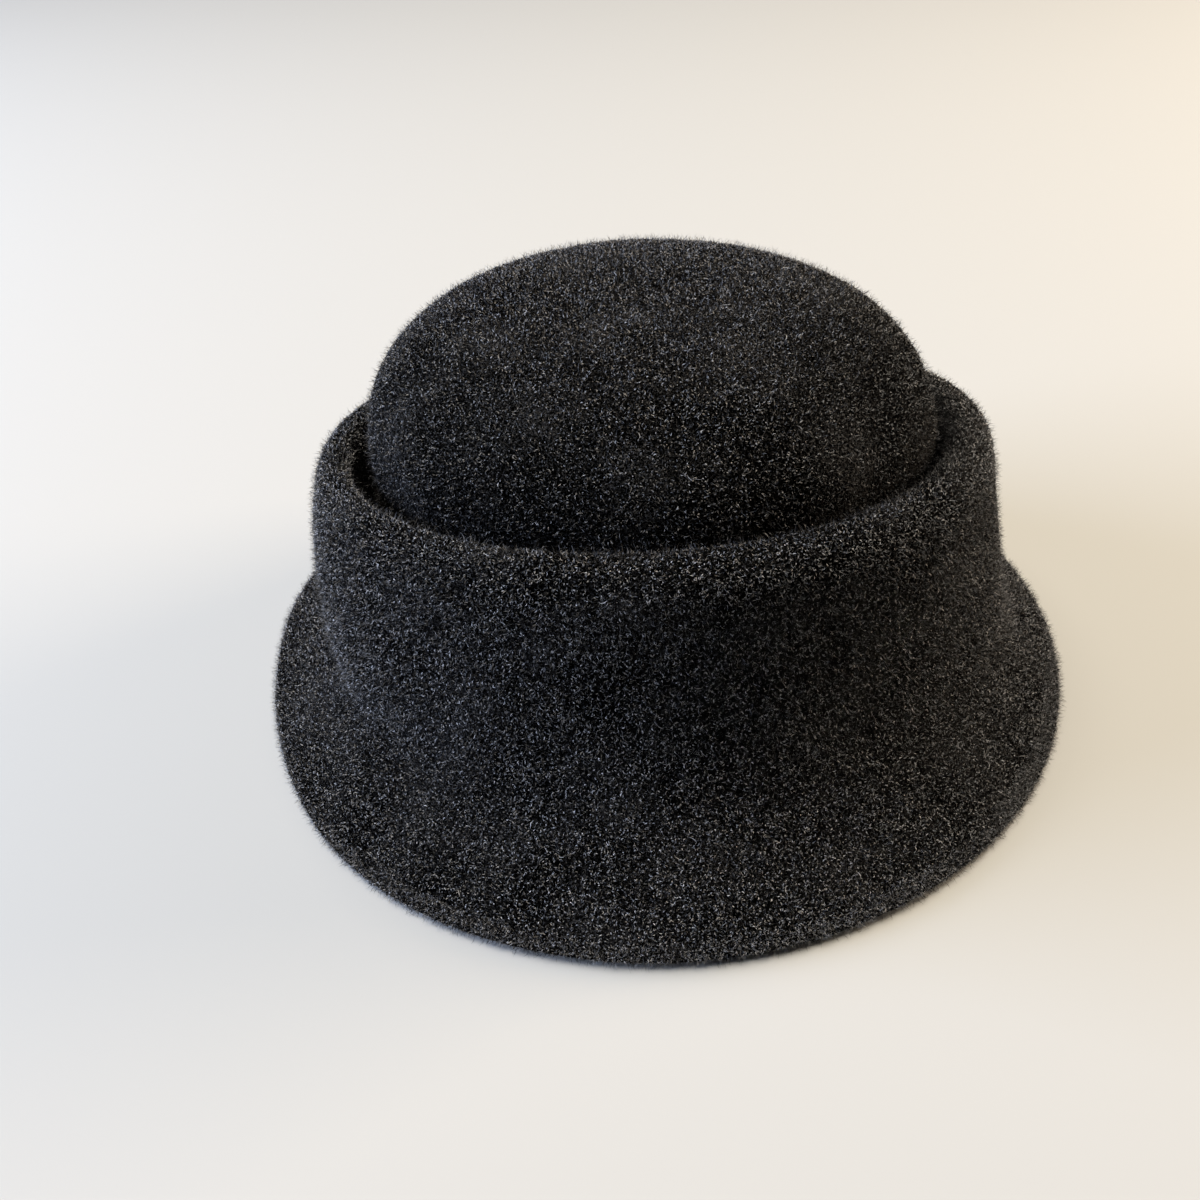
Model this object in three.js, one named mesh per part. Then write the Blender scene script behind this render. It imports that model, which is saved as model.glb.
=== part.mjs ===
// A bucket hat of fulled knit, made in one piece without a seam.
// One continuous wall runs from the brim's edge up the flared skirt, turns over a rolled lip,
// dives into a groove and rises again as the domed crown.
// Millimetres, +Z up. The front of the hat faces -Y and +X is to the right of a viewer in front.

import * as THREE from 'three';

// Knit and folds
const KNIT_THICKNESS = 3.5;
const ROLL_HALF_WIDTH = 6.0; // oval bend of the knit's middle over the lip, across and upward
const ROLL_HALF_HEIGHT = 8.0;
const ROLL_SLIMMING = 1.8; // how much less its half width is at the left, where the groove stands open
const ROLL_START = THREE.MathUtils.degToRad(15); // place on the oval where the skirt runs into it
const LAYER_LEAN = 1.0; // the lip's inner layer leans this far toward the crown on its way down

// Crown
const CROWN_TOP = 139.2; // level of the knit's middle at the apex
const CROWN_ROUNDNESS = 2.9; // 2 is an ellipse, higher gives a flatter top and fuller shoulders
const APEX_X = -4.5;
const APEX_Y = -2.5;

// Brim
const FRONT_LIFT = 2.0; // the front of the brim stands this far off the table
const LIFT_START = 0.45; // share of the way to the front where the lift begins

// Soft waves of the brim, which push it out, and slumps of the lip, which let it down.
// at: the middle of each around the hat, spread: its width there, both in degrees,
// with 0 to the right, 90 at the back and 180 to the left
const WAVES = [
  { at: 25, spread: 24, size: 2.5 },
  { at: 151, spread: 25, size: 9.5 },
  { at: 228, spread: 24, size: 1.8 },
];
const SLUMPS = [
  { at: 50, spread: 24, size: 6.0 },
];

// Rows of the hat, from the brim's edge inward and upward, measured to the middle of the knit.
// The roll's row is the axis that the lip turns over.
// left, right, front and back: reach from the hat's axis in that direction
// level: height at the sides, tilt: how much higher the front is and lower the back
// frontUp: extra height at the front alone, lift: share of the front lift
// wave and slump: share of the waves and of the slumps
// A column that a row leaves out is 0.
const ROWS = {
  edge: { left: 139.5, right: 143.2, front: 149.6, back: 141.6, level: 0.6, lift: 1, wave: 1 },
  brim: {
    left: 125.5, right: 133.0, front: 127.5, back: 128.0,
    level: 8.0, tilt: 1, frontUp: 11, lift: 0.4, wave: 0.5,
  },
  flare: { left: 115.4, right: 126.0, front: 112.8, back: 119.2, level: 16.0, tilt: 2, frontUp: 17 },
  wall: { left: 117.0, right: 120.5, front: 108.2, back: 117.0, level: 38.0, tilt: 4, frontUp: 10 },
  shoulder: { left: 114.3, right: 114.2, front: 106.2, back: 112.0, level: 70.0, tilt: 11.2, slump: 0.6 },
  roll: { left: 105.8, right: 105.6, front: 100.8, back: 104.0, level: 85.0, tilt: 14.4, slump: 1 },
  foot: { left: 88.6, right: 91.4, front: 85.8, back: 90.0, level: 62.0, tilt: 13 },
  widest: { left: 90.7, right: 94.9, front: 89.2, back: 93.5, level: 87.1 },
};

// Facets
const TURN_STEPS = 72;
const SKIRT_STEPS = 15;
const ROLL_STEPS = 6;
const LAYER_STEPS = 2;
const GROOVE_STEPS = 5;
const SIDE_STEPS = 3;
const DOME_STEPS = 8;

function smooth(share) {
  const s = THREE.MathUtils.clamp(share, 0, 1);
  return s * s * (3 - 2 * s);
}

// The sum of a table's waves or slumps in one direction around the hat.
function sumAt(table, turn) {
  const degrees = THREE.MathUtils.radToDeg(turn);
  let sum = 0;
  for (const { at, spread, size } of table) {
    const off = THREE.MathUtils.euclideanModulo(degrees - at + 180, 360) - 180;
    sum += size * Math.exp(-Math.pow(off / spread, 2));
  }
  return sum;
}

// The point of a row in one direction around the hat. A turn of 0 is +X, a quarter turn is the back.
function rowPoint(row, turn) {
  const { tilt = 0, frontUp = 0, lift = 0, wave = 0, slump = 0 } = row;
  const toRight = Math.cos(turn);
  const toBack = Math.sin(turn);
  const toFront = Math.max(-toBack, 0);
  const out = wave * sumAt(WAVES, turn);
  const x = toRight * ((toRight > 0 ? row.right : row.left) + out);
  const y = toBack * ((toBack > 0 ? row.back : row.front) + out);
  const raised = lift * FRONT_LIFT * smooth((toFront - LIFT_START) / (1 - LIFT_START));
  const down = slump * sumAt(SLUMPS, turn);
  const z = row.level - tilt * toBack + frontUp * toFront * toFront + raised - down;
  return new THREE.Vector3(x, y, z);
}

// A point moved toward the hat's axis, and down.
function movedIn(point, inward, down) {
  const reach = Math.hypot(point.x, point.y);
  const scale = (reach - inward) / reach;
  return new THREE.Vector3(point.x * scale, point.y * scale, point.z - down);
}

// The knit's way over the rolled lip. An angle of 0 is the outermost point and a quarter turn the crest.
function rollPoint(angle, turn) {
  const axis = rowPoint(ROWS.roll, turn);
  const toLeft = Math.max(-Math.cos(turn), 0);
  const halfWidth = ROLL_HALF_WIDTH - ROLL_SLIMMING * toLeft * toLeft;
  return movedIn(axis, -halfWidth * Math.cos(angle), -ROLL_HALF_HEIGHT * Math.sin(angle));
}

function lipPoint(share, turn) {
  return rollPoint(THREE.MathUtils.lerp(ROLL_START, Math.PI, share), turn);
}

// The lower end of the lip's inner layer, level with the foot of the crown.
function layerFoot(turn) {
  const top = rollPoint(Math.PI, turn);
  const foot = rowPoint(ROWS.foot, turn);
  return movedIn(top, LAYER_LEAN, top.z - foot.z);
}

function innerLayerPoint(share, turn) {
  return rollPoint(Math.PI, turn).lerp(layerFoot(turn), share);
}

// The knit's way round the bottom of the groove, from the inner layer to the foot of the crown.
function groovePoint(share, turn) {
  const from = layerFoot(turn);
  const middle = from.clone().add(rowPoint(ROWS.foot, turn)).multiplyScalar(0.5);
  const arm = from.sub(middle);
  const point = middle.addScaledVector(arm, Math.cos(share * Math.PI));
  point.z -= arm.length() * Math.sin(share * Math.PI);
  return point;
}

// The top of the crown, from its widest row to the apex.
function domePoint(share, turn) {
  const base = rowPoint(ROWS.widest, turn);
  const angle = share * Math.PI / 2;
  const outward = Math.pow(Math.cos(angle), 2 / CROWN_ROUNDNESS);
  const upward = Math.pow(Math.sin(angle), 2 / CROWN_ROUNDNESS);
  const centreX = APEX_X * upward;
  const centreY = APEX_Y * upward;
  const z = base.z + (CROWN_TOP - base.z) * upward;
  return new THREE.Vector3(centreX + base.x * outward, centreY + base.y * outward, z);
}

// The skirt, from the brim's edge up to where the lip begins to turn.
function skirtPoint(share, turn) {
  const rows = [ROWS.edge, ROWS.brim, ROWS.flare, ROWS.wall, ROWS.shoulder];
  const points = rows.map((row) => rowPoint(row, turn));
  points.push(rollPoint(ROLL_START, turn));
  return new THREE.CatmullRomCurve3(points).getPoint(share);
}

// The side of the crown, from the bottom of the groove out to its widest row.
function crownSidePoint(share, turn) {
  const foot = rowPoint(ROWS.foot, turn);
  const widest = rowPoint(ROWS.widest, turn);
  const outward = Math.sin(share * Math.PI / 2);
  return new THREE.Vector3(
    THREE.MathUtils.lerp(foot.x, widest.x, outward),
    THREE.MathUtils.lerp(foot.y, widest.y, outward),
    THREE.MathUtils.lerp(foot.z, widest.z, share),
  );
}

// The way of the knit's middle from the brim's edge to the apex, in stretches.
// Each one gives the point at a share of its way, in one direction around the hat.
const STRETCHES = [
  { steps: SKIRT_STEPS, at: skirtPoint },
  { steps: ROLL_STEPS, at: lipPoint },
  { steps: LAYER_STEPS, at: innerLayerPoint },
  { steps: GROOVE_STEPS, at: groovePoint },
  { steps: SIDE_STEPS, at: crownSidePoint },
  { steps: DOME_STEPS, at: domePoint },
];

// The knit's middle and its two directions at one place: along its way, and outward from its face.
function knitAt(stretch, share, turn) {
  const nudge = 1e-3; // a small step to each side, as a share of the stretch and in radians
  const before = stretch.at(Math.max(share - nudge, 0), turn);
  const after = stretch.at(Math.min(share + nudge, 1), turn);
  const along = after.sub(before).normalize();
  const around = stretch.at(share, turn + nudge).sub(stretch.at(share, turn - nudge));
  const outward = around.cross(along).normalize();
  return { middle: stretch.at(share, turn), along, outward };
}

// The closed shell: the inner face from the apex down, round the brim's edge, and the outer face back up.
function shellGeometry() {
  const half = KNIT_THICKNESS / 2;
  const turns = Array.from({ length: TURN_STEPS }, (_, step) => 2 * Math.PI * step / TURN_STEPS);
  const places = [];
  STRETCHES.forEach((stretch, index) => {
    const isLast = index === STRETCHES.length - 1;
    for (let step = index === 0 ? 0 : 1; step <= stretch.steps; step += 1) {
      if (isLast && step === stretch.steps) continue;
      places.push({ stretch, share: step / stretch.steps });
    }
  });

  const outer = [];
  const inner = [];
  for (const { stretch, share } of places) {
    const knit = turns.map((turn) => knitAt(stretch, share, turn));
    outer.push(knit.map(({ middle, outward }) => middle.clone().addScaledVector(outward, half)));
    inner.push(knit.map(({ middle, outward }) => middle.clone().addScaledVector(outward, -half)));
  }

  // The brim's edge is rounded from the inner face to the outer one.
  const rim = [135, 90, 45].map((degrees) => {
    const angle = THREE.MathUtils.degToRad(degrees);
    return turns.map((turn) => {
      const { middle, along, outward } = knitAt(STRETCHES[0], 0, turn);
      const point = middle.clone().addScaledVector(outward, half * Math.cos(angle));
      return point.addScaledVector(along, -half * Math.sin(angle));
    });
  });

  const rings = [...inner.slice().reverse(), ...rim, ...outer];
  const positions = [];
  for (const point of rings.flat()) {
    // The brim is pressed flat where it meets the table.
    positions.push(point.x, point.y, Math.max(point.z, 0));
  }
  const innerApex = positions.length / 3;
  positions.push(APEX_X, APEX_Y, CROWN_TOP - half);
  const outerApex = positions.length / 3;
  positions.push(APEX_X, APEX_Y, CROWN_TOP + half);

  const triangles = [];
  const lastRing = (rings.length - 1) * TURN_STEPS;
  for (let step = 0; step < TURN_STEPS; step += 1) {
    const next = (step + 1) % TURN_STEPS;
    triangles.push(innerApex, next, step);
    triangles.push(outerApex, lastRing + step, lastRing + next);
    for (let ring = 0; ring < rings.length - 1; ring += 1) {
      const here = ring * TURN_STEPS;
      const above = here + TURN_STEPS;
      triangles.push(here + step, here + next, above + next);
      triangles.push(here + step, above + next, above + step);
    }
  }

  const geometry = new THREE.BufferGeometry();
  geometry.setAttribute('position', new THREE.Float32BufferAttribute(positions, 3));
  geometry.setIndex(triangles);
  // The origin is on the table, under the middle of the brim.
  geometry.computeBoundingBox();
  const { min, max } = geometry.boundingBox;
  geometry.translate(-(min.x + max.x) / 2, -(min.y + max.y) / 2, -min.z);
  geometry.computeVertexNormals();
  return geometry;
}

const charcoalKnit = new THREE.MeshStandardMaterial({ color: 0x242425, roughness: 0.95, metalness: 0 });

const shell = new THREE.Mesh(shellGeometry(), charcoalKnit);
shell.name = 'knit_shell';

const hat = new THREE.Group();
hat.name = 'knit_bucket_hat';
hat.add(shell);

export default hat;
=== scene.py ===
"""Looks of the knit bucket hat: one wall of fulled wool knit with its nap, standing on a pale floor."""

import math

import bmesh
import bpy
import numpy as np
from mathutils import Matrix, Vector, noise
from mathutils.bvhtree import BVHTree


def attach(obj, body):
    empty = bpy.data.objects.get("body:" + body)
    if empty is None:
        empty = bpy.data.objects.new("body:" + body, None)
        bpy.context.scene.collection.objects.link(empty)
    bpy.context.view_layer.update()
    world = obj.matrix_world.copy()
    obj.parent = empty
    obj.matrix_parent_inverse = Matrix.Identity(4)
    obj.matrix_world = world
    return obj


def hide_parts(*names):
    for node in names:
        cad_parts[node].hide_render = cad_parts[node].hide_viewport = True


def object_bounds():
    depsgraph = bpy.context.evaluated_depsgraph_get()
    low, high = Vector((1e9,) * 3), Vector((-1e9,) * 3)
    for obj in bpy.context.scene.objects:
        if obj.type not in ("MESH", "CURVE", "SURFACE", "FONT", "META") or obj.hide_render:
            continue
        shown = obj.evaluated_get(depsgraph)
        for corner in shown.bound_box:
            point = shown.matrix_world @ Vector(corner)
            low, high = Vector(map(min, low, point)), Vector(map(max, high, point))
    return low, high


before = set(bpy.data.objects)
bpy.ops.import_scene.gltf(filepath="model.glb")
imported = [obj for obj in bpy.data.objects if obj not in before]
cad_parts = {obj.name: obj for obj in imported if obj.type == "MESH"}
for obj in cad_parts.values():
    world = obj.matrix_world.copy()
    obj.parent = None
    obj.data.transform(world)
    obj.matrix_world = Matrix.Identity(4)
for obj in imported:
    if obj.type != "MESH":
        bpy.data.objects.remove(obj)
cad_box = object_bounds()

MM = 0.001
SHELL_NODE = "knit_shell"
BODY = "root"

# Camera, as the photograph was taken
FOCAL_LENGTH_PIXELS = 1340.5
IMAGE_PIXELS = 1200
SENSOR_WIDTH = 36.0
PITCH_DOWN = math.radians(36.36)
ROLL = math.radians(4.18)
AIM = Vector((-20.8, -21.0, 40.0)) * MM
AIM_DISTANCE = 463.3 * MM

# Floor and light
FLOOR_SIZE = 14.0
FLOOR_LEVEL = cad_box[0].z
SKY_COLOUR = "#e6e8ec"
SKY_STRENGTH = 0.07
LIGHTS = {
    "overhead_softbox": {
        "place": (-0.2, 0.35, 2.6), "width": 2.0, "depth": 1.4, "watts": 152.0, "colour": "#fff5e7",
    },
    "left_softbox": {
        "place": (-2.0, 0.15, 0.65), "width": 1.6, "depth": 1.0, "watts": 186.0, "colour": "#ccdcff",
    },
    "right_softbox": {
        "place": (1.8, 0.5, 0.65), "width": 1.0, "depth": 1.0, "watts": 96.0, "colour": "#ffe6c8",
    },
}
LIGHT_AIM = Vector((0.0, 0.0, 60.0)) * MM

# Knit
SHELL_SUBDIVISIONS = 1
WELD_DISTANCE = 0.01 * MM
SOFT_DENT_SIZE = 34.0 * MM
SOFT_DENT_DEPTH = 0.45 * MM
RESTING_HEIGHT = 1.0 * MM  # the brim's edge lies flat on the floor below this height
WALE_COUNT = 256  # columns of stitches around the hat, about 2.8 mm wide on the wall
TANGLE_SIZE = 0.6 * MM  # loops of felted yarn
FIBRE_GRAIN = 0.35 * MM  # single fibres, drawn coarser than they are so that they show
CLOUD_SIZE = 26.0 * MM  # patches where the cloth is a little darker or paler
GRAIN_SHARE = 0.35  # relief of the grain and of the columns, against that of the tangle
WALE_SHARE = 0.015
CLOUD_SHARE = 0.22  # how far the patches shift the cloth's colour
FELT_RELIEF = 0.9 * MM

# Nap: flat bent fibres, lengths and widths in millimetres, angles in degrees
# A wool fibre is about 0.03 mm wide. These stand for tufts of it, drawn as wide as they need to be to show.
# lift: rise from the surface, bend: turn at each joint, droop: how far it sinks back at each joint
# shade: the two powers of the beta spread from black to pale
# rim: how many times denser it grows on the brim's edge
NAP_SEED = 11
NAP_KINDS = {
    "curl": {
        "count": 366_000, "length": (0.8, 1.6), "width": (0.2, 0.38), "lift": (8, 60),
        "bend": (25, 95), "droop": 24, "joints": 1, "shade": (1.0, 1.1), "rim": 2.0,
    },
    "hair": {
        "count": 97_000, "length": (1.1, 3.6), "width": (0.07, 0.12), "lift": (55, 90),
        "bend": (5, 50), "droop": 30, "joints": 1, "shade": (1.8, 2.4), "rim": 6.0,
    },
    "lint": {
        "count": 260, "length": (2.4, 4.2), "width": (0.14, 0.24), "lift": (8, 25),
        "bend": (20, 60), "droop": 14, "joints": 2, "shade": (12.0, 0.8), "rim": 1.0,
    },
}
NAP_SECTORS = ("right", "back_right", "back_left", "left", "front_left", "front_right")
NAP_SINK = 0.15  # how deep a fibre is rooted, in millimetres
FIBRE_TILT = 1.3  # how far a fibre's flat side may lean over, as a slope
DROOP_SPREAD = (0.3, 1.0)  # the least and most of its kind's droop that a fibre has
OPENNESS_RAYS = 10
RAY_START = 0.3 * MM  # how far above the surface a ray starts
RAY_LEAN = 1.05  # adds the surface's own direction to a ray, so that it leads away from the surface
FLOOR_SLOPE = -0.1  # a ray that sinks more than this leads to the floor
OPENNESS_GAIN = 3.0  # a place that is open to a third of the rays has the full nap
RIM_HEIGHT = 6.0 * MM  # the brim's edge: below this level and facing sideways
RIM_FACING = 0.8
INNER_NAP_SHARE = 0.05  # the knit's inside and the depth of its folds keep this share of the nap
SHADE_MARGIN = 0.02  # the nap's map is left free this far from its sides
SHADE_HALF_WIDTH = 0.012  # room that one fibre takes across its shade on the nap's map
CROWN_MIDDLE = (2.0 * MM, 2.0 * MM)
CROWN_REACH = 94.5 * MM  # the crown and its groove lie within this reach of its middle
CROWN_DENSITY = 0.75  # how dense the crown's nap is, against that of the skirt
# Painted shade: the crown's fibres are darker than the skirt's, most down in the groove
CROWN_LEVELS = (92.0 * MM, 125.0 * MM)  # in the groove and up on the dome
CROWN_PAINTED_SHADES = (0.61, 0.84)  # painted shade: how pale the crown's fibres are at these levels, against those of the skirt
LIP_REACHES = (96.0 * MM, 101.5 * MM)  # inside and outside of the lip's crest
LIP_PAINTED_SHADES = (0.5, 1.0)  # painted shade: how pale the lip's fibres are there, darker on the crest's inner side
TINY_AREA = 1e-12  # these two keep a division by nothing away
TINY_LENGTH = 1e-9


def linear(hex_colour):
    """An sRGB hex colour as linear red, green, blue and alpha."""
    parts = [int(hex_colour[k:k + 2], 16) / 255 for k in (1, 3, 5)]
    return [c / 12.92 if c <= 0.04045 else ((c + 0.055) / 1.055) ** 2.4 for c in parts] + [1.0]


def add_node(tree, kind, inputs=None, **settings):
    """Adds a node, sets its properties, and sets or links its inputs."""
    node = tree.nodes.new(kind)
    for name, value in settings.items():
        setattr(node, name, value)
    for name, value in (inputs or {}).items():
        if isinstance(value, bpy.types.NodeSocket):
            tree.links.new(value, node.inputs[name])
        else:
            node.inputs[name].default_value = value
    return node


def new_material(name):
    """An empty material and its node tree."""
    material = bpy.data.materials.new(name)
    material.use_nodes = True
    material.node_tree.nodes.clear()
    return material, material.node_tree


def set_ramp(ramp_node, stops):
    """Gives a colour ramp its stops, as places and hex colours."""
    ramp = ramp_node.color_ramp
    while len(ramp.elements) < len(stops):
        ramp.elements.new(1.0)
    for element, (place, colour) in zip(ramp.elements, stops):
        element.position = place
        element.color = linear(colour)


def new_piece(name, mesh, material):
    """An object of one mesh and one material, in the scene."""
    piece = bpy.data.objects.new(name, mesh)
    bpy.context.collection.objects.link(piece)
    mesh.materials.append(material)
    return piece


# Materials

def fulled_knit_material():
    """Fulled wool knit, dyed charcoal.

    Fulling mats the stitches, so the eye sees a dull dark felt of tangled loops with dark pits between them
    and only a trace of the stitch columns. Its colour follows the relief: painted shade darkens the low
    places, down to black in the pits, and slow patches shift the tone at random.
    """
    material, tree = new_material("charcoal_fulled_wool_knit")
    place = add_node(tree, "ShaderNodeTexCoord").outputs["Object"]
    tangle = add_node(tree, "ShaderNodeTexNoise", {
        "Vector": place, "Scale": 1 / TANGLE_SIZE, "Detail": 3.0, "Roughness": 0.6, "Distortion": 1.2,
    })
    grain = add_node(tree, "ShaderNodeTexNoise", {
        "Vector": place, "Scale": 1 / FIBRE_GRAIN, "Detail": 2.0, "Roughness": 0.6,
    })
    cloud = add_node(tree, "ShaderNodeTexNoise", {
        "Vector": place, "Scale": 1 / CLOUD_SIZE, "Detail": 2.0, "Roughness": 0.5,
    })

    # The stitch columns run round the hat's axis.
    axes = add_node(tree, "ShaderNodeSeparateXYZ", {"Vector": place})
    turn = add_node(tree, "ShaderNodeMath", {0: axes.outputs["Y"], 1: axes.outputs["X"]}, operation="ARCTAN2")
    wales = add_node(tree, "ShaderNodeMath", {0: turn.outputs[0], 1: WALE_COUNT}, operation="MULTIPLY")
    column = add_node(tree, "ShaderNodeMath", {0: wales.outputs[0]}, operation="COSINE")

    height = add_node(tree, "ShaderNodeMath", {
        0: grain.outputs["Fac"], 1: GRAIN_SHARE, 2: tangle.outputs["Fac"],
    }, operation="MULTIPLY_ADD")
    height = add_node(tree, "ShaderNodeMath", {
        0: column.outputs[0], 1: WALE_SHARE, 2: height.outputs[0],
    }, operation="MULTIPLY_ADD")
    bump = add_node(tree, "ShaderNodeBump", {
        "Height": height.outputs[0], "Strength": 0.9, "Distance": FELT_RELIEF,
    })

    # Painted shade: the colour darkens with the relief's low places, down to black in the pits; the slow
    # patches are tone that differs at random
    depth = add_node(tree, "ShaderNodeMath", {
        0: cloud.outputs["Fac"], 1: CLOUD_SHARE, 2: height.outputs[0],
    }, operation="MULTIPLY_ADD")
    colour = add_node(tree, "ShaderNodeValToRGB", {"Fac": depth.outputs[0]})
    set_ramp(colour, [(0.72, "#000000"), (0.84, "#090909"), (0.98, "#3a3a3a")])

    surface = add_node(tree, "ShaderNodeBsdfPrincipled", {
        "Base Color": colour.outputs["Color"], "Normal": bump.outputs["Normal"],
        "Roughness": 0.95, "Specular IOR Level": 0.0,
    })
    add_node(tree, "ShaderNodeOutputMaterial", {"Surface": surface.outputs["BSDF"]})
    return material


def wool_nap_material():
    """Loose wool fibres of the nap, carded and dyed in a blend from black to mid grey.

    The nap's map gives each fibre its shade across and its length upward, so the eye sees dull fibres that
    differ, with painted shade making each a little darker at the root.
    """
    material, tree = new_material("charcoal_wool_nap")
    places = add_node(tree, "ShaderNodeUVMap", uv_map="OFBake")
    parts = add_node(tree, "ShaderNodeSeparateXYZ", {"Vector": places.outputs["UV"]})
    shade = add_node(tree, "ShaderNodeValToRGB", {"Fac": parts.outputs["X"]})
    set_ramp(shade, [
        (0.0, "#020202"), (0.2, "#101010"), (0.5, "#545454"), (0.8, "#848484"), (1.0, "#9c9c9c"),
    ])
    # Painted shade: each fibre darkens towards its root, where the nap shades it
    root_shade = add_node(tree, "ShaderNodeMapRange", {
        "Value": parts.outputs["Y"], "From Min": 0.0, "From Max": 0.6, "To Min": 0.8, "To Max": 1.0,
    })
    colour = add_node(tree, "ShaderNodeMix", {
        "Factor": root_shade.outputs["Result"], 6: linear("#050505"), 7: shade.outputs["Color"],
    }, data_type="RGBA")
    surface = add_node(tree, "ShaderNodeBsdfPrincipled", {
        "Base Color": colour.outputs[2], "Roughness": 0.9, "Specular IOR Level": 0.0,
    })
    add_node(tree, "ShaderNodeOutputMaterial", {"Surface": surface.outputs["BSDF"]})
    return material


def floor_paint_material():
    """Matt floor paint, rolled on: an even, dull grey that the studio light turns nearly white."""
    material, tree = new_material("matt_grey_floor_paint")
    surface = add_node(tree, "ShaderNodeBsdfPrincipled", {
        "Base Color": linear("#888986"), "Roughness": 0.7, "Specular IOR Level": 0.2,
    })
    add_node(tree, "ShaderNodeOutputMaterial", {"Surface": surface.outputs["BSDF"]})
    return material


# Setting

def add_camera():
    """The camera, turned and placed as the photograph was taken."""
    data = bpy.data.cameras.new("photo_camera")
    data.sensor_width = SENSOR_WIDTH
    data.lens = FOCAL_LENGTH_PIXELS / IMAGE_PIXELS * SENSOR_WIDTH
    data.clip_start = 0.01
    camera = bpy.data.objects.new("photo_camera", data)
    bpy.context.collection.objects.link(camera)
    turn = Matrix.Rotation(math.radians(90) - PITCH_DOWN, 4, "X") @ Matrix.Rotation(-ROLL, 4, "Z")
    ahead = turn.to_3x3() @ Vector((0, 0, -1))
    camera.matrix_world = Matrix.Translation(AIM - ahead * AIM_DISTANCE) @ turn
    bpy.context.scene.camera = camera


def add_floor():
    """A plain floor that the hat stands on."""
    shape = bmesh.new()
    bmesh.ops.create_grid(shape, x_segments=1, y_segments=1, size=FLOOR_SIZE / 2)
    bmesh.ops.translate(shape, verts=shape.verts, vec=(0, 0, FLOOR_LEVEL))
    mesh = bpy.data.meshes.new("floor")
    shape.to_mesh(mesh)
    shape.free()
    new_piece("floor", mesh, floor_paint_material())


def add_lights():
    """Three soft boxes that face the hat, and a faint even light from all around."""
    for name, light in LIGHTS.items():
        data = bpy.data.lights.new(name, "AREA")
        data.shape = "RECTANGLE"
        data.size = light["width"]
        data.size_y = light["depth"]
        data.energy = light["watts"]
        data.color = linear(light["colour"])[:3]
        lamp = bpy.data.objects.new(name, data)
        bpy.context.collection.objects.link(lamp)
        place = Vector(light["place"])
        turn = (LIGHT_AIM - place).to_track_quat("-Z", "Y").to_matrix().to_4x4()
        lamp.matrix_world = Matrix.Translation(place) @ turn

    world = bpy.data.worlds.new("soft_studio_light")
    world.use_nodes = True
    tree = world.node_tree
    tree.nodes.clear()
    sky = add_node(tree, "ShaderNodeBackground", {"Color": linear(SKY_COLOUR), "Strength": SKY_STRENGTH})
    add_node(tree, "ShaderNodeOutputWorld", {"Surface": sky.outputs["Background"]})
    bpy.context.scene.world = world
    bpy.context.scene.view_settings.view_transform = "Standard"


# Knit shell

def knit_shell():
    """The wall of knit: the solid's own form, rounded, with the slight unevenness of felted cloth."""
    shape = bmesh.new()
    shape.from_mesh(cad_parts[SHELL_NODE].data)
    bmesh.ops.remove_doubles(shape, verts=shape.verts, dist=WELD_DISTANCE)
    bmesh.ops.join_triangles(
        shape, faces=shape.faces, angle_face_threshold=math.pi, angle_shape_threshold=math.pi)
    shape.normal_update()
    for vertex in shape.verts:
        if vertex.co.z > FLOOR_LEVEL + RESTING_HEIGHT:
            swell = noise.noise(vertex.co / SOFT_DENT_SIZE)
            vertex.co += vertex.normal * (swell * SOFT_DENT_DEPTH)
    for face in shape.faces:
        face.smooth = True
    mesh = bpy.data.meshes.new("knit_wall")
    shape.to_mesh(mesh)
    shape.free()
    shell = new_piece("knit_wall", mesh, fulled_knit_material())
    rounding = shell.modifiers.new("rounding", "SUBSURF")
    rounding.levels = SHELL_SUBDIVISIONS
    rounding.render_levels = SHELL_SUBDIVISIONS
    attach(shell, BODY)
    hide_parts(SHELL_NODE)
    return shell


# Nap

def unit(vectors):
    """The vectors at a length of one."""
    return vectors / np.maximum(np.linalg.norm(vectors, axis=1), TINY_LENGTH)[:, None]


def between(limits, count, rng):
    """Random values between two limits."""
    return limits[0] + (limits[1] - limits[0]) * rng.random(count)


def surface_of(shell):
    """The shell's triangles: corners, corner normals, area and how open each one lies."""
    graph = bpy.context.evaluated_depsgraph_get()
    finished = shell.evaluated_get(graph)
    mesh = finished.to_mesh()
    mesh.calc_loop_triangles()
    points = np.empty(len(mesh.vertices) * 3)
    mesh.vertices.foreach_get("co", points)
    points = points.reshape(-1, 3)
    normals = np.empty(len(mesh.vertices) * 3)
    mesh.vertices.foreach_get("normal", normals)
    normals = normals.reshape(-1, 3)
    triangles = np.empty(len(mesh.loop_triangles) * 3, dtype=np.int64)
    mesh.loop_triangles.foreach_get("vertices", triangles)
    triangles = triangles.reshape(-1, 3)
    finished.to_mesh_clear()

    corners = points[triangles]
    sides = np.cross(corners[:, 1] - corners[:, 0], corners[:, 2] - corners[:, 0])
    areas = np.linalg.norm(sides, axis=1) / 2
    tree = BVHTree.FromPolygons(points.tolist(), triangles.tolist())
    openness = openness_of(corners.mean(axis=1), sides / (2 * areas[:, None] + TINY_AREA), tree)
    return {"corners": corners, "normals": normals[triangles], "areas": areas, "openness": openness}


def openness_of(middles, outward, tree):
    """For each triangle, the share of directions above it that lead out of the hat and not to the floor."""
    rng = np.random.default_rng(NAP_SEED)
    ways = unit(rng.normal(size=(OPENNESS_RAYS, 3)))
    openness = np.zeros(len(middles))
    for index, (middle, normal) in enumerate(zip(middles, outward)):
        start = Vector(middle + normal * RAY_START)
        for way in ways:
            above = way + normal * RAY_LEAN
            if above[2] > FLOOR_SLOPE and tree.ray_cast(start, Vector(above))[0] is None:
                openness[index] += 1 / OPENNESS_RAYS
    return openness


def reach_of(points):
    """How far points lie from the middle of the crown, seen from above."""
    return np.hypot(points[:, 0] - CROWN_MIDDLE[0], points[:, 1] - CROWN_MIDDLE[1])


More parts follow.
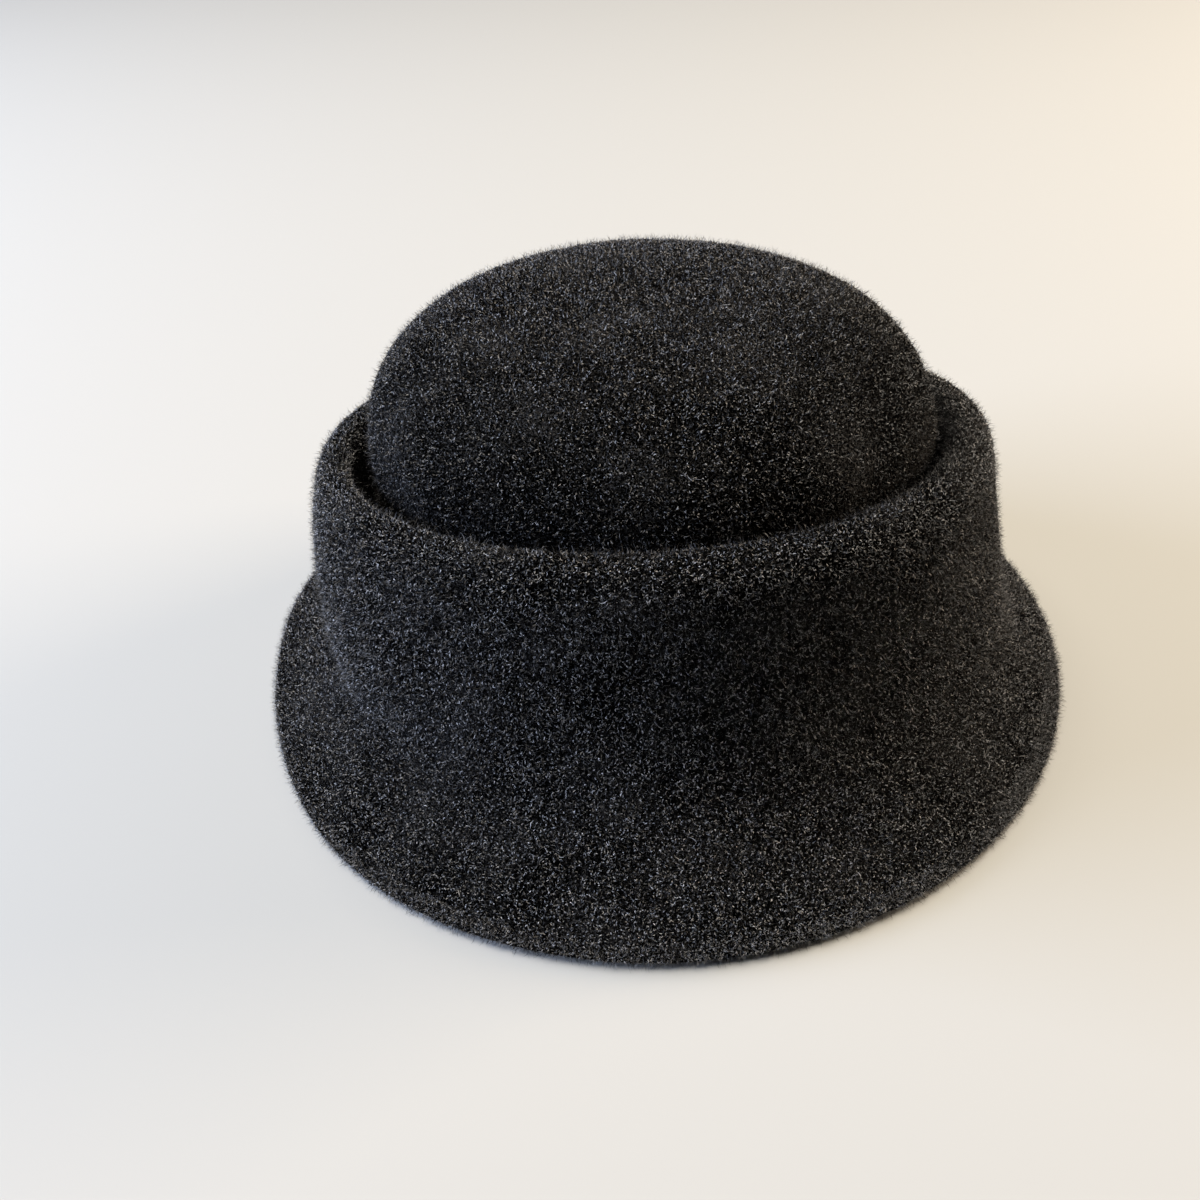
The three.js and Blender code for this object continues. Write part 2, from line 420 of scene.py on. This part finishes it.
def rooted(surface, count, rim, rng):
    """Random places on the surface, with the outward direction of each.

    There are more where it lies open and on the brim's edge, and fewer on the crown.
    """
    nap_share = np.minimum(surface["openness"] * OPENNESS_GAIN, 1.0)
    weights = surface["areas"] * np.maximum(nap_share, INNER_NAP_SHARE)
    middles = surface["corners"].mean(axis=1)
    facing = np.abs(surface["normals"].mean(axis=1)[:, 2])
    weights[(middles[:, 2] < FLOOR_LEVEL + RIM_HEIGHT) & (facing < RIM_FACING)] *= rim
    weights[reach_of(middles) < CROWN_REACH] *= CROWN_DENSITY
    chosen = rng.choice(len(weights), size=count, p=weights / weights.sum())
    split = np.sqrt(rng.random(count))
    slide = rng.random(count)
    shares = np.stack([1 - split, split * (1 - slide), split * slide], axis=1)[:, :, None]
    roots = (surface["corners"][chosen] * shares).sum(axis=1)
    outward = (surface["normals"][chosen] * shares).sum(axis=1)
    return roots, unit(outward)


def painted_shade_share(roots):
    """How pale each fibre may be: painted shade makes those of the crown darker than the skirt's, most in its
    groove, and those on the inner side of the lip's crest too.
    """
    reach = reach_of(roots)
    crown = np.interp(roots[:, 2], CROWN_LEVELS, CROWN_PAINTED_SHADES)
    skirt = np.interp(reach, LIP_REACHES, LIP_PAINTED_SHADES)
    return np.where(reach < CROWN_REACH, crown, skirt)


def grown(kind, roots, outward, rng):
    """Fibres of one kind: the points of each, their places on the nap's map, and one fibre's triangles."""
    count = len(roots)
    joints = kind["joints"]
    step = (between(kind["length"], count, rng) * MM / (joints + 1))[:, None]
    half_width = (between(kind["width"], count, rng) * MM / 2)[:, None]
    lift = np.radians(between(kind["lift"], count, rng))[:, None]
    along = unit(np.cross(outward, rng.normal(size=(count, 3))))
    across = np.cross(outward, along)
    turning = rng.choice((-1, 1), size=count)
    tilt = rng.uniform(-FIBRE_TILT, FIBRE_TILT, count)[:, None]
    # Random tone of each fibre, with painted shade on the crown, its groove and the lip's inner side
    shade = rng.beta(*kind["shade"], count) * painted_shade_share(roots)
    shade = SHADE_MARGIN + (1 - 2 * SHADE_MARGIN) * shade

    path = [roots - outward * NAP_SINK * MM]
    edges = []
    for joint in range(joints + 1):
        heading = along * np.cos(lift) + outward * np.sin(lift)
        path.append(path[-1] + heading * step)
        if joint < joints:
            taper = math.sin(math.pi * (joint + 1) / (joints + 1))
            edges.append(unit(np.cross(heading, outward + tilt * across)) * half_width * taper)
        bend = np.radians(turning * between(kind["bend"], count, rng))[:, None]
        turned = along * np.cos(bend) + across * np.sin(bend)
        across = across * np.cos(bend) - along * np.sin(bend)
        along = turned
        lift = lift - np.radians(rng.uniform(*DROOP_SPREAD, count) * kind["droop"])[:, None]

    points = [path[0]]
    places = [np.stack([shade, np.zeros(count)], axis=1)]
    for joint in range(joints):
        share = np.full(count, (joint + 1) / (joints + 1))
        for side in (-1, 1):
            points.append(path[joint + 1] + side * edges[joint])
            places.append(np.stack([shade + side * SHADE_HALF_WIDTH, share], axis=1))
    points.append(path[-1])
    places.append(np.stack([shade, np.ones(count)], axis=1))

    triangles = [(0, 1, 2)]
    for joint in range(joints - 1):
        near = 1 + 2 * joint
        triangles += [(near, near + 2, near + 3), (near, near + 3, near + 1)]
    last = 2 * joints
    triangles.append((last - 1, last + 1, last))
    return np.stack(points, axis=1), np.stack(places, axis=1), np.array(triangles)


def nap_mesh(name, batches):
    """One mesh of all the fibres in the batches, with their map.

    No operator lays bent fibres by the hundred thousand, so their points and faces are listed here.
    """
    points = []
    places = []
    faces = []
    start = 0
    for fibre_points, fibre_places, triangles in batches:
        count, size = fibre_points.shape[:2]
        firsts = start + size * np.arange(count)
        points.append(fibre_points.reshape(-1, 3))
        places.append(fibre_places.reshape(-1, 2))
        faces.append((firsts[:, None, None] + triangles[None]).reshape(-1, 3))
        start += count * size
    points = np.concatenate(points)
    places = np.concatenate(places)
    faces = np.concatenate(faces)
    points[:, 2] = np.maximum(points[:, 2], FLOOR_LEVEL)
    mesh = bpy.data.meshes.new(name)
    mesh.from_pydata(points, [], faces)
    nap_map = mesh.uv_layers.new(name="OFBake")
    nap_map.data.foreach_set("uv", places[faces.ravel()].ravel().astype(np.float32))
    return mesh


def add_nap(shell):
    """The nap, in one piece for each sector around the hat."""
    rng = np.random.default_rng(NAP_SEED)
    surface = surface_of(shell)
    material = wool_nap_material()
    batches = {name: [] for name in NAP_SECTORS}
    for kind in NAP_KINDS.values():
        roots, outward = rooted(surface, kind["count"], kind["rim"], rng)
        points, places, triangles = grown(kind, roots, outward, rng)
        turn = np.arctan2(roots[:, 1], roots[:, 0]) / (2 * math.pi) % 1.0
        sector = np.minimum((turn * len(NAP_SECTORS)).astype(int), len(NAP_SECTORS) - 1)
        for index, name in enumerate(NAP_SECTORS):
            here = sector == index
            batches[name].append((points[here], places[here], triangles))
    for name in NAP_SECTORS:
        piece = new_piece("nap_" + name, nap_mesh("nap_" + name, batches[name]), material)
        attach(piece, BODY)


add_camera()
add_floor()
add_lights()
hat = knit_shell()
add_nap(hat)
